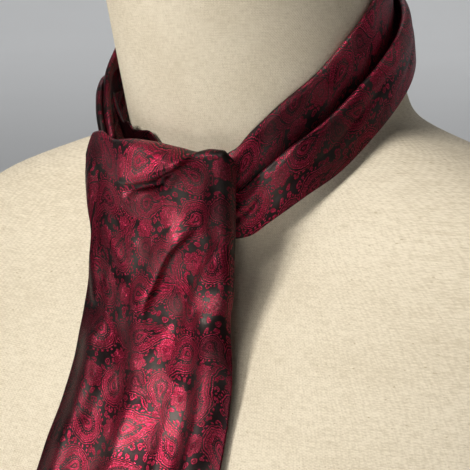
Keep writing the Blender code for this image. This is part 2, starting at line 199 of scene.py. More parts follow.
# The blade's folds: each ridge's ends, how far it bends sideways, its half width on its left and on its
# right seen along it, and its height
FOLD_COLUMNS = ("x0", "z0", "x1", "z1", "bend", "near", "far", "height")
BLADE_FOLDS = (
    (30, 512, 29, 466, 0.8, 4.0, 4.0, 1.0),
    (21, 502, 19, 484, 0.0, 6.0, 6.5, -2.6),
    (23, 474, 7, 438, 1.0, 7.5, 7.5, -4.0),
    (-46, 500, -38, 446, 2.0, 4.5, 4.0, 2.2),
    (-7, 445, -14, 330, -3.0, 8.0, 7.0, 4.4),
    (-36, 425, -45, 205, 3.0, 7.0, 9.0, 5.2),
    (29, 440, 36, 215, -3.0, 8.0, 7.0, 5.6),
    (8, 345, 11, 190, 2.5, 8.0, 7.0, 4.2),
    (-22, 300, -27, 200, -2.0, 6.0, 6.0, 3.0),
    (-34, 478, -20, 462, 1.0, 2.6, 3.4, 0.9),
    (-12, 470, -22, 438, 1.6, 3.0, 4.2, 1.2),
    (24, 462, 14, 418, 1.2, 3.2, 4.0, 1.0),
    (-30, 452, -34, 395, -1.8, 3.6, 4.4, 1.2),
    (14, 405, 19, 340, 2.0, 4.0, 4.4, 1.3),
    (-2, 300, 1, 235, 1.5, 3.8, 4.2, 1.1),
    (3, 499, -18, 494.5, 0.6, 3.0, 2.6, -2.6),
)

# Folds whose cloth leans over their lower side: where the edge runs, from which share of it to which the
# fold rises and from which to which it dies away, how wide its two flanks are, its height and its lean
LEANING_COLUMNS = ("line", "rise", "fade", "gentle", "steep", "height", "lean")
LEANING_FOLDS = (
    (
        ((19.8, 515.4), (15.4, 511.6), (11, 508.4), (3.7, 505.0), (-3.9, 502.6), (-14, 500.6), (-26, 500.4)),
        (-0.2, 0.35),
        (0.78, 1.0),
        7.5,
        1.3,
        4.6,
        2.6,
    ),
    (
        ((19.6, 514.6), (14.5, 509.8), (10.0, 504.0), (5.5, 498.0), (-1, 491.5), (-9, 487)),
        (-0.2, 0.25),
        (0.55, 1.0),
        3.4,
        2.4,
        3.0,
        0.6,
    ),
    (
        ((21, 485.0), (13.5, 477.0), (6.8, 469.5), (1.4, 459.0), (-3.5, 446.0), (-6, 430)),
        (0.0, 0.2),
        (0.55, 1.0),
        6.5,
        1.8,
        4.6,
        2.2,
    ),
)

UNDER_TABLE_COLUMNS = ("z", "left", "right")
UNDER = (
    (180, -44, 46),
    (300, -46, 45),
    (400, -40, 37),
    (440, -35, 31),
    (470, -28, 25),
)
UNDER_TOP = 465.0
UNDER_FOLDS = (
    (-20, 440, -30, 250, 2.0, 6.0, 7.0, 0.5),
    (18, 430, 24, 240, -2.0, 6.0, 6.0, 0.5),
)

# Where the figure lies on the blade and along the band
BLADE_PLACE = (31.0, 4.0)
BAND_PLACE = 20.0

# Soft creases of the neckband: start and end in degrees round the neck from the throat, where they lie
# across the cloth as a share of it, their half width in millimetres and their depth
CREASE_COLUMNS = ("start", "end", "from_share", "to_share", "width", "depth")
BAND_CREASES = (
    (9, 44, 0.95, 0.70, 2.0, -0.9),
    (16, 62, 0.86, 0.62, 1.6, 0.7),
    (30, 88, 0.90, 0.78, 2.2, -0.6),
    (12, 40, 0.36, 0.24, 1.6, -0.6),
    (52, 118, 0.68, 0.80, 2.4, 0.5),
    (96, 150, 0.92, 0.72, 2.6, -0.6),
    (70, 130, 0.34, 0.22, 1.8, -0.4),
    (140, 205, 0.66, 0.88, 2.8, 0.5),
    (168, 232, 0.24, 0.36, 1.9, -0.4),
    (196, 260, 0.90, 0.74, 2.4, -0.6),
    (238, 296, 0.70, 0.86, 2.0, 0.6),
    (262, 322, 0.92, 0.76, 1.8, -0.8),
    (280, 326, 0.30, 0.22, 1.5, -0.5),
)

# The studio's floor and wall as (radius, height) in metres, and the lights over its far floor
STUDIO = (
    (6.0, 0.0),
    (8.0, 0.0),
    (9.5, 0.12),
    (10.6, 0.6),
    (11.3, 1.5),
    (11.6, 3.0),
    (11.7, 6.0),
)
BACKDROP_COLUMNS = ("x", "y", "power")
BACKDROP_LIGHTS = (
    (-5.0, 6.5, 180),
    (5.0, 6.5, 88),
    (6.0, -5.5, 10),
    (-6.0, -5.5, 10),
)
BACKDROP_HEIGHT = 4.5

# Colours as linear RGB
CRIMSON = (0.31, 0.006, 0.031, 1)
# The bright pink of crimson threads catching the light: a painted highlight
CRIMSON_GLINT = (0.82, 0.065, 0.18, 1)
GROUND = (0.018, 0.009, 0.010, 1)
# The greenish grey of the near-black satin where it catches the light: painted sheen
GROUND_SHEEN = (0.058, 0.048, 0.044, 1)
LINEN = (0.60, 0.515, 0.38, 1)
LINEN_LIGHT = (0.80, 0.715, 0.565, 1)
LINEN_SLUB = (0.36, 0.27, 0.15, 1)
LINEN_PITCH = 5.2
CAP_LEVEL = 615.0
BACKDROP = (0.78, 0.79, 0.80, 1)

# The paisley's repeat, its drops and its flowers, in millimetres and degrees on the flat cloth
REPEAT = (62.0, 70.0)
DROP_COLUMNS = ("x", "y", "angle", "radius", "bend")
DROPS = (
    (0, -3, 62, 8.8, 0.24),
    (31, 2, -100, 9.0, -0.22),
    (14, 20, 8, 8.4, 0.28),
    (48, 23, 172, 7.6, -0.26),
    (0, 45, 118, 8.8, -0.24),
    (31, 49, -58, 7.6, 0.30),
    (50, -4, 20, 5.0, 0.3),
    (16, 49, 205, 5.2, -0.3),
    (33, 26, 250, 5.0, 0.3),
)
DROP_TAPER = 0.465
FIGURE_SCALE = 0.84
FLOWER_COLUMNS = ("x", "y", "radius")
FLOWERS = (
    (17, 0, 5.6),
    (0, 21, 6.4),
    (49, 7, 5.0),
    (31, 36, 5.8),
    (47, 43, 6.6),
    (15, 36, 5.0),
)


def smooth(at, xs, ys):
    """A curve through the points (xs, ys) that never overshoots them."""
    xs = np.asarray(xs, float)
    ys = np.asarray(ys, float)
    step = np.diff(xs)
    slope = np.diff(ys) / step
    tangent = np.zeros(len(xs))
    same = slope[:-1] * slope[1:] > 0
    both = slope[:-1] + slope[1:]
    tangent[1:-1][same] = (2 * slope[:-1] * slope[1:])[same] / both[same]
    tangent[0] = slope[0]
    tangent[-1] = slope[-1]
    at = np.clip(np.asarray(at, float), xs[0], xs[-1])
    i = np.clip(np.searchsorted(xs, at, side="right") - 1, 0, len(step) - 1)
    h = step[i]
    t = (at - xs[i]) / h
    return (
        ys[i] * (1 + 2 * t) * (1 - t) ** 2
        + h * tangent[i] * t * (1 - t) ** 2
        + ys[i + 1] * t * t * (3 - 2 * t)
        + h * tangent[i + 1] * t * t * (t - 1)
    )


def read(table, columns, name, at):
    """The value of one named column, read between the table's rows by its first column."""
    rows = np.array(table, float)
    return smooth(at, rows[:, 0], rows[:, columns.index(name)])


def ease(low, high, value):
    """0 below low, 1 above high, and smooth between."""
    t = np.clip((value - low) / (high - low), 0, 1)
    return t * t * (3 - 2 * t)


def neck_point(angle, along, off):
    """The point at an angle round the neck (degrees), a height along it and a distance off it."""
    turn = np.radians(angle)
    radius = NECK_RADIUS - NECK_TAPER * along + off
    return (
        NECK_RING
        + np.multiply.outer(along, NECK_UP)
        + np.multiply.outer(radius * np.sin(turn), NECK_SIDE)
        + np.multiply.outer(radius * np.cos(turn), NECK_FRONT)
    )


class Field:
    """A number or vector in a node tree. Plain arithmetic on it adds the nodes that work it out."""

    def __init__(self, tree, socket):
        self.tree = tree
        self.socket = socket

    def __add__(self, other):
        return calc(self.tree, "ADD", self, other)

    def __sub__(self, other):
        return calc(self.tree, "SUBTRACT", self, other)

    def __rsub__(self, other):
        return calc(self.tree, "SUBTRACT", other, self)

    def __mul__(self, other):
        return calc(self.tree, "MULTIPLY", self, other)

    def __truediv__(self, other):
        return calc(self.tree, "DIVIDE", self, other)

    __radd__ = __add__
    __rmul__ = __mul__


def put(tree, socket, value):
    """Links a field to a socket, or sets the socket to a plain value."""
    if isinstance(value, Field):
        tree.links.new(value.socket, socket)
    else:
        socket.default_value = value


def calc(tree, operation, *values):
    node = tree.nodes.new("ShaderNodeMath")
    node.operation = operation
    for socket, value in zip(node.inputs, values):
        put(tree, socket, value)
    return Field(tree, node.outputs[0])


def vector_calc(tree, operation, *values, output="Vector"):
    node = tree.nodes.new("ShaderNodeVectorMath")
    node.operation = operation
    for socket, value in zip(node.inputs, values):
        put(tree, socket, value)
    return Field(tree, node.outputs[output])


def dot(vector, x, y):
    return vector_calc(vector.tree, "DOT_PRODUCT", vector, (x, y, 0.0), output="Value")


def combine(tree, x=0.0, y=0.0, z=0.0):
    node = tree.nodes.new("ShaderNodeCombineXYZ")
    for socket, value in zip(node.inputs, (x, y, z)):
        put(tree, socket, value)
    return Field(tree, node.outputs[0])


def separate(vector):
    node = vector.tree.nodes.new("ShaderNodeSeparateXYZ")
    put(vector.tree, node.inputs[0], vector)
    return [Field(vector.tree, socket) for socket in node.outputs]


def ramp(low, high, value):
    """0 below low, 1 above high, and smooth between."""
    node = value.tree.nodes.new("ShaderNodeMapRange")
    node.interpolation_type = "SMOOTHSTEP"
    put(value.tree, node.inputs["Value"], value)
    put(value.tree, node.inputs["From Min"], low)
    put(value.tree, node.inputs["From Max"], high)
    return Field(value.tree, node.outputs[0])


def stripe(value, low, high, soft):
    """1 between low and high, 0 outside them."""
    return ramp(low - soft, low + soft, value) * (1 - ramp(high - soft, high + soft, value))


def largest(first, *others):
    for other in others:
        first = calc(first.tree, "MAXIMUM", first, other)
    return first


def choose(use, first, second):
    """The first vector where use is 0, the second where it is 1."""
    node = use.tree.nodes.new("ShaderNodeMix")
    node.data_type = "VECTOR"
    put(use.tree, node.inputs["Factor"], use)
    put(use.tree, node.inputs[4], first)
    put(use.tree, node.inputs[5], second)
    return Field(use.tree, node.outputs[1])


def blend_colours(tree, share, first, second, kind="MIX"):
    node = tree.nodes.new("ShaderNodeMix")
    node.data_type = "RGBA"
    node.blend_type = kind
    put(tree, node.inputs["Factor"], share)
    put(tree, node.inputs[6], first)
    put(tree, node.inputs[7], second)
    return Field(tree, node.outputs[2])


def noise(vector, scale, detail=2.0, roughness=0.5, distortion=0.0):
    node = vector.tree.nodes.new("ShaderNodeTexNoise")
    put(vector.tree, node.inputs["Vector"], vector)
    for name, value in (("Scale", scale), ("Detail", detail), ("Roughness", roughness), ("Distortion", distortion)):
        node.inputs[name].default_value = value
    return Field(vector.tree, node.outputs["Fac"])


def start_material(name, roughness, sheen, specular=0.5):
    made = bpy.data.materials.new(name)
    made.use_nodes = True
    shader = made.node_tree.nodes["Principled BSDF"]
    shader.inputs["Roughness"].default_value = roughness
    shader.inputs["Sheen Weight"].default_value = sheen
    shader.inputs["Specular IOR Level"].default_value = specular
    return made, made.node_tree, shader


def cloth_place(tree, scale):
    """The place on the flat cloth, from the mesh's own map of it, which is in metres."""
    node = tree.nodes.new("ShaderNodeUVMap")
    node.uv_map = "cloth"
    return vector_calc(tree, "MULTIPLY", Field(tree, node.outputs[0]), (scale, scale, 0.0))


def in_repeat(place, x, y):
    """The place measured from a motif's centre, in the pattern's repeat."""
    half = (REPEAT[0] / 2, REPEAT[1] / 2, 1.0)
    off = vector_calc(place.tree, "SUBTRACT", place, (x, y, 0.0))
    return vector_calc(place.tree, "WRAP", off, half, tuple(-side for side in half))


def drop_depth(x, y, bend, radius):
    """How deep a place is in a paisley drop, whose head has its centre at 0 and whose tip bends aside."""
    tree = x.tree
    above = calc(tree, "MAXIMUM", y, 0.0)
    across = calc(tree, "ABSOLUTE", x - above * above * bend)
    slope = math.sqrt(1 - DROP_TAPER**2)
    bent = combine(tree, across, y)
    along = dot(bent, -DROP_TAPER, slope)
    head = vector_calc(tree, "LENGTH", bent, output="Value")
    side = dot(bent, slope, DROP_TAPER)
    beside = calc(tree, "GREATER_THAN", along, 0.0)
    reach = head + beside * (side - head)
    return (1.0 - reach) * radius


def nearest_drop(place):
    """The deepest drop's depth, and the place in it with its radius as the third coordinate."""
    depth = None
    for row in DROPS:
        drop = dict(zip(DROP_COLUMNS, row))
        off = in_repeat(place, drop["x"], drop["y"])
        turn = math.radians(drop["angle"])
        radius = drop["radius"]
        x = dot(off, math.cos(turn) / radius, math.sin(turn) / radius)
        y = dot(off, -math.sin(turn) / radius, math.cos(turn) / radius)
        here = drop_depth(x, y, drop["bend"], radius)
        local = combine(place.tree, x, y, radius)
        if depth is None:
            depth, best = here, local
            continue
        best = choose(calc(place.tree, "GREATER_THAN", here, depth), best, local)
        depth = largest(depth, here)
    return depth, best


def nearest_flower(place):
    """The place in the nearest flower, with its radius as 1."""
    near = None
    for row in FLOWERS:
        flower = dict(zip(FLOWER_COLUMNS, row))
        off = in_repeat(place, flower["x"], flower["y"])
        local = vector_calc(place.tree, "MULTIPLY", off, (1 / flower["radius"],) * 3)
        here = vector_calc(place.tree, "LENGTH", local, output="Value")
        if near is None:
            near, best = here, local
            continue
        best = choose(calc(place.tree, "LESS_THAN", here, near), best, local)
        near = calc(place.tree, "MINIMUM", near, here)
    return near, best


def fillers(place):
    """Small leaves and rings scattered over the ground."""
    tree = place.tree
    node = tree.nodes.new("ShaderNodeTexVoronoi")
    node.voronoi_dimensions = "2D"
    put(tree, node.inputs["Vector"], place)
    node.inputs["Scale"].default_value = 1 / 4.4
    node.inputs["Randomness"].default_value = 0.65
    centre = Field(tree, node.outputs["Position"])
    chance = separate(Field(tree, node.outputs["Color"]))[0]
    off = vector_calc(tree, "SUBTRACT", place, centre)
    off = vector_calc(tree, "MULTIPLY", off, (1 / 4.4,) * 3)
    spin = tree.nodes.new("ShaderNodeVectorRotate")
    spin.rotation_type = "Z_AXIS"
    put(tree, spin.inputs["Vector"], off)
    put(tree, spin.inputs["Angle"], chance * 9.7)
    turned = Field(tree, spin.outputs[0])
    narrow = vector_calc(tree, "MULTIPLY", turned, (1.8, 1.0, 0.0))
    leaf = ramp(-0.42, -0.37, vector_calc(tree, "LENGTH", narrow, output="Value") * -1.0)
    rib = ramp(0.02, 0.05, calc(tree, "ABSOLUTE", separate(turned)[0]))
    leaf = leaf * (rib * 0.55 + 0.45)
    reach = vector_calc(tree, "LENGTH", off, output="Value")
    ring = stripe(reach, 0.19, 0.33, 0.02) + (1 - ramp(0.08, 0.11, reach))
    pick = calc(tree, "GREATER_THAN", chance, 0.62)
    return leaf + pick * (ring - leaf)


def paisley(place):
    """The figure's strength, from 0 on the ground to 1 on its brightest thread."""
    tree = place.tree
    depth, local = nearest_drop(place)
    x, y, radius = separate(local)
    turn = calc(tree, "ARCTAN2", x, y * -1.0)
    share = depth / radius
    comb = calc(tree, "SINE", turn * 44.0)
    pearls = ramp(0.0, 0.5, calc(tree, "COSINE", turn * 26.0))
    scallop = calc(tree, "ABSOLUTE", calc(tree, "SINE", turn * 9.0)) * 0.07
    outline = stripe(share, 0.0, 0.055, 0.012)
    border = ramp(0.08, 0.12, share) * (1 - ramp(0.33, 0.37, share - scallop))
    border = border * (comb * 0.34 + 0.66) * (1 - stripe(share, 0.20, 0.245, 0.01) * 0.7)
    beads = stripe(share, 0.455, 0.51, 0.012) * pearls
    ring = stripe(share, 0.60, 0.63, 0.012)
    grain = calc(tree, "SINE", share * 90.0) * 0.30 + 0.70
    heart = ramp(0.67, 0.69, share) * grain * (1 - stripe(share, 0.84, 0.92, 0.02))
    outside = depth * -1.0
    echo = stripe(outside, 0.75, 1.1, 0.1)
    rim = stripe(outside, 1.7, 2.5, 0.12) * pearls
    reach, petal = nearest_flower(place)
    petal_x, petal_y, _ = separate(petal)
    petal_turn = calc(tree, "ARCTAN2", petal_x, petal_y)
    lobes = calc(tree, "ABSOLUTE", calc(tree, "COSINE", petal_turn * 4.0)) * 0.2 + 0.8
    clear = ramp(0.7, 0.9, outside)
    flower = ramp(0.0, 0.04, lobes - reach) * clear
    flower = flower * (calc(tree, "COSINE", petal_turn * 36.0) * 0.42 + 0.58)
    inner_lobe = reach / lobes
    flower = flower * (1 - stripe(reach, 0.24, 0.30, 0.02) * 0.9) * (1 - stripe(inner_lobe, 0.56, 0.60, 0.015) * 0.8)
    away = ramp(0.06, 0.12, reach - lobes)
    ground = fillers(place) * ramp(2.6, 2.9, outside) * away * 0.8
    drops = largest(outline, border, beads, ring, heart) * (radius * 0.11)
    edging = largest(echo, rim) * (1 - clear * (1 - away))
    return largest(drops, edging, flower, ground)


def silk_material(name, reverse_and_shade=1.0):
    """Jacquard silk: a crimson paisley figure on a near-black satin ground, with painted glints on its threads,
    painted sheen on its ground and painted bands of light and shade across it. Its second argument darkens every
    colour, for the duller reverse side and for painted shade.
    """
    made, tree, shader = start_material(name, 0.38, 0.0, 0.2)
    shader.inputs["Metallic"].default_value = 0.8
    place = cloth_place(tree, 1000.0)
    x, y, _ = separate(place)
    sway_x = calc(tree, "SINE", y / 9.0) * 1.1 + (noise(place, 0.3, 2.0) - 0.5) * 2.4
    aside = vector_calc(tree, "ADD", place, (90.0, 40.0, 0.0))
    sway_y = calc(tree, "SINE", x / 8.0) * 1.1 + (noise(aside, 0.3, 2.0) - 0.5) * 2.4
    figure = paisley(combine(tree, (x + sway_x) / FIGURE_SCALE, (y + sway_y) / FIGURE_SCALE))
    weft = noise(combine(tree, x * 1.1, y * 3.2), 1.0, 2.0, 0.7)
    warp = noise(combine(tree, x * 3.6, y * 0.9), 1.0, 2.0, 0.7)
    # Random tone and painted sheen: the ground turns greyer, as the satin's sheen, in wide random patches
    sheen_patches = noise(place, 0.06, 2.0)
    # Painted highlight: fine speckles where the crimson threads turn bright pink as glints, and where the roughness is
    # also lower
    glint = ramp(0.48, 0.72, weft)
    thread = blend_colours(tree, glint, dimmed(CRIMSON, reverse_and_shade), dimmed(CRIMSON_GLINT, reverse_and_shade))
    satin = blend_colours(tree, ramp(0.35, 0.7, sheen_patches), dimmed(GROUND, reverse_and_shade), dimmed(GROUND_SHEEN, reverse_and_shade))
    # Painted light and shade: broad bands about 105 mm apart, wandering sideways down the cloth, make the whole colour
    # up to 1.6 times as bright or down to 0.4 times as dark, standing for the drape's highlights and shade
    light_band_drift = calc(tree, "SINE", (y + 30.0) / -35.0) * 12.0
    painted_light_and_shade = calc(tree, "COSINE", (x - 26.0 - light_band_drift) * (2 * math.pi / 105)) * 0.6 + 1.0
    woven = blend_colours(tree, figure * (weft * 0.9 + 0.45), satin, thread)
    put(tree, shader.inputs["Base Color"], vector_calc(tree, "MULTIPLY", woven, combine(tree, painted_light_and_shade, painted_light_and_shade, painted_light_and_shade)))
    put(tree, shader.inputs["Roughness"], 0.42 - glint * 0.12 + warp * 0.06)
    weave = calc(tree, "SINE", (x - y * 0.35) * 15.0) * 0.2 + (warp + weft) * 0.5 + figure * 0.9
    bump = tree.nodes.new("ShaderNodeBump")
    bump.inputs["Strength"].default_value = 0.5
    bump.inputs["Distance"].default_value = 0.12 * MM
    put(tree, bump.inputs["Height"], weave)
    tree.links.new(bump.outputs[0], shader.inputs["Normal"])
    return made


def dimmed(colour, share):
    return tuple(channel * share for channel in colour[:3]) + (1,)


def linen_material():
    """Plain-woven linen with uneven threads and darker slubs, laid on the form by its height and turn."""
    made, tree, shader = start_material("cream_linen_cloth", 0.85, 0.0, 0.25)
    node = tree.nodes.new("ShaderNodeTexCoord")
    place = Field(tree, node.outputs["Object"])
    x, y, z = separate(place)
    turn = calc(tree, "ARCTAN2", x, (y + 0.015) * -1.0) * 64.0
    up = z * 1000.0
    on_cap = calc(tree, "GREATER_THAN", up, CAP_LEVEL)
    turn = turn + on_cap * (x * 1000.0 - turn)
    up = up + on_cap * (y * 1000.0 - up)
    flat = combine(tree, turn, up)
    warp = calc(tree, "SINE", turn * LINEN_PITCH + noise(combine(tree, turn * 0.06, up * 0.4), 1.0) * 6.0)
    weft = calc(tree, "SINE", up * LINEN_PITCH + noise(combine(tree, turn * 0.4, up * 0.06), 1.0) * 6.0)
    weave = warp * weft
    thick_across = noise(combine(tree, turn * 0.22, up * 2.3), 1.0, 3.0, 0.6)
    thick_down = noise(combine(tree, turn * 2.3, up * 0.3), 1.0, 3.0, 0.6)
    fleck = noise(flat, 1.1, 2.0)
    cloud = noise(flat, 0.03, 2.0)
    uneven = thick_across * 0.55 + thick_down * 0.45
    threads = blend_colours(tree, ramp(0.34, 0.66, uneven + weave * 0.05 + cloud * 0.2 - 0.1), LINEN, LINEN_LIGHT)
    slubs = largest(ramp(0.60, 0.70, thick_across), ramp(0.62, 0.72, thick_down) * 0.8)
    slubs = largest(slubs * 0.5, ramp(0.66, 0.74, fleck))
    colour = blend_colours(tree, slubs * 0.6, threads, LINEN_SLUB)
    put(tree, shader.inputs["Base Color"], colour)
    bump = tree.nodes.new("ShaderNodeBump")
    bump.inputs["Strength"].default_value = 0.6
    bump.inputs["Distance"].default_value = 0.2 * MM
    put(tree, bump.inputs["Height"], weave * 0.4 + uneven * 2.2)
    tree.links.new(bump.outputs[0], shader.inputs["Normal"])
    return made


def floor_material():
    made, tree, shader = start_material("pale_floor", 0.8, 0.0, 0.2)
    node = tree.nodes.new("ShaderNodeTexCoord")
    soft = noise(Field(tree, node.outputs["Object"]), 1.5, 2.0)
    near = tuple(channel * 0.96 for channel in BACKDROP[:3]) + (1,)
    put(tree, shader.inputs["Base Color"], blend_colours(tree, soft, near, BACKDROP))
    return made


def mesh_piece(name, points, faces, finish, places=None):
    """A smooth piece in metres. places gives each point's place on the flat cloth in millimetres."""
    mesh = bpy.data.meshes.new(name)
    mesh.from_pydata((np.asarray(points) * MM).tolist(), [], faces)
    mesh.shade_smooth()
    if places is not None:
        corner_points = np.zeros(len(mesh.loops), np.int32)
        mesh.loops.foreach_get("vertex_index", corner_points)
        layer = mesh.uv_layers.new(name="cloth")
        layer.uv.foreach_set("vector", (np.asarray(places)[corner_points] * MM).astype(np.float32).ravel())
    piece = bpy.data.objects.new(name, mesh)
    bpy.context.scene.collection.objects.link(piece)
    piece.data.materials.append(finish)
    return piece


def grid_normals(grid):
    normal = np.cross(np.gradient(grid, axis=0), np.gradient(grid, axis=1))
    return normal / np.maximum(np.linalg.norm(normal, axis=2, keepdims=True), 1e-9)


def run_length(grid, axis):
    """The distance along the grid from its middle line, in one direction, for every point."""
    step = np.linalg.norm(np.diff(grid, axis=axis), axis=2)
    shape = list(step.shape)
    shape[axis] = 1
    run = np.concatenate([np.zeros(shape), np.cumsum(step, axis=axis)], axis=axis)
    return run


def spread(length, count):
    """Places from 0 to a length, with close ones at both ends where the sheet's edge rounds over."""
    edge = np.array(EDGE_LOOPS)
    inside = np.linspace(edge[-1], length - edge[-1], count)
    return np.concatenate([edge[:-1], inside, length - edge[-2::-1]])


def rounded(grid, axis):
    """Half thicknesses that close to nothing at the first and last lines of a direction."""
    run = run_length(grid, axis)
    end = np.take(run, [-1], axis=axis)
    from_edge = np.minimum(run, end - run)
    part = np.clip(from_edge / (SILK / 2), 0, 1)
    return np.sqrt(np.clip(1 - (1 - part) ** 2, 0, 1))


def silk_sheet(name, grid, cloth, finish):
    """A sheet of silk on a grid of points, its two faces meeting in rounded edges."""
    half = np.minimum(rounded(grid, 0), rounded(grid, 1)) * SILK / 2
    half = np.maximum(half, 0.02)[..., None]
    out = grid_normals(grid) * half
    rows, columns, _ = grid.shape
    points = np.concatenate([(grid + out).reshape(-1, 3), (grid - out).reshape(-1, 3)])
    index = np.arange(rows * columns).reshape(rows, columns)
    front = np.stack([index[:-1, :-1], index[:-1, 1:], index[1:, 1:], index[1:, :-1]], axis=-1).reshape(-1, 4)
    back = front[:, ::-1] + rows * columns
    around = np.concatenate([index[0, :-1], index[:-1, -1], index[-1, :0:-1], index[:0:-1, 0]])
    after = np.roll(around, -1)
    other = rows * columns
    rim = np.stack([around, around + other, after + other, after], axis=-1)
    faces = np.concatenate([front, back, rim]).tolist()
    places = np.asarray(cloth).reshape(-1, 2)
    piece = mesh_piece(name, points, faces, finish, np.concatenate([places, places]))
    fix_normals(piece)
    return piece


def fix_normals(piece):
    work = bmesh.new()
    work.from_mesh(piece.data)
    bmesh.ops.recalc_face_normals(work, faces=work.faces)
    work.to_mesh(piece.data)
    work.free()


def blade_depth(x, z):
    """The Y of the blade's middle surface without its folds."""
    front = read(BLADE, BLADE_TABLE_COLUMNS, "front", z)
    bow = read(BLADE, BLADE_TABLE_COLUMNS, "bow", z)
    return front + bow * x * x


def fold_height(x, z, folds):
    """How far the folds push the blade forward at (x, z)."""
    raised = np.zeros(np.broadcast(x, z).shape)
    for row in folds:
        fold = dict(zip(FOLD_COLUMNS, row))
        dx = fold["x1"] - fold["x0"]
        dz = fold["z1"] - fold["z0"]
        length = math.hypot(dx, dz)
        along = ((x - fold["x0"]) * dx + (z - fold["z0"]) * dz) / length
        across = ((x - fold["x0"]) * dz - (z - fold["z0"]) * dx) / length
        across = across - fold["bend"] * np.sin(math.pi * np.clip(along / length, 0, 1))
        width = np.where(across > 0, fold["far"], fold["near"])
        end = np.maximum(np.maximum(-along, along - length), 0) / (0.5 * (fold["near"] + fold["far"]))
        raised = raised + fold["height"] * np.exp(-((across / width) ** 2) - end**2)
    return raised


def beside(line, x, z):
    """Each place's distance from a line, over 0 above it, its share along it, and the way across it."""
    knots = np.array(line, float)
    places = np.linspace(0, len(knots) - 1, 40)
    points = np.stack([smooth(places, range(len(knots)), knots[:, i]) for i in (0, 1)], axis=1)
    steps = np.diff(points, axis=0)
    lengths = np.linalg.norm(steps, axis=1)
    runs = np.concatenate([[0], np.cumsum(lengths)])
    nearest = np.full(np.shape(x), 1e9)
    signed, share = np.zeros(np.shape(x)), np.zeros(np.shape(x))
    way = np.zeros(np.shape(x) + (2,))
    for (px, pz), (dx, dz), length, run in zip(points, steps, lengths, runs):
        along = np.clip(((x - px) * dx + (z - pz) * dz) / length**2, 0, 1)
        distance = np.hypot(x - px - along * dx, z - pz - along * dz)
        side = np.sign((x - px) * dz - (z - pz) * dx)
        closer = distance < nearest
        nearest = np.where(closer, distance, nearest)
        signed = np.where(closer, distance * side, signed)
        share = np.where(closer, (run + along * length) / runs[-1], share)
        way[closer] = (dz / length, -dx / length)
    return signed, share, way


def leaning_shift(x, z):
    """How far the leaning folds move a place of the blade, as (x, y, z)."""
    shift = np.zeros(np.shape(x) + (3,))
    for row in LEANING_FOLDS:
        fold = dict(zip(LEANING_COLUMNS, row))
        signed, share, way = beside(fold["line"], x, z)
        strength = ease(*fold["rise"], share) * (1 - ease(*fold["fade"], share))
        width = np.where(signed > 0, fold["gentle"], fold["steep"])
        forward = np.exp(-((signed / width) ** 2))
        tip = signed - 0.3 * fold["steep"]
        lean = np.exp(-((tip / np.where(tip > 0, 0.5 * fold["gentle"], 0.9 * fold["steep"])) ** 2))
        shift[..., 1] -= fold["height"] * strength * forward
        shift[..., 0] -= fold["lean"] * strength * lean * way[..., 0]
        shift[..., 2] -= fold["lean"] * strength * lean * way[..., 1]
    return shift


def blade_edges(share, z):
    left = read(BLADE, BLADE_TABLE_COLUMNS, "left", z)
    right = read(BLADE, BLADE_TABLE_COLUMNS, "right", z)
    return left + (right - left) * share


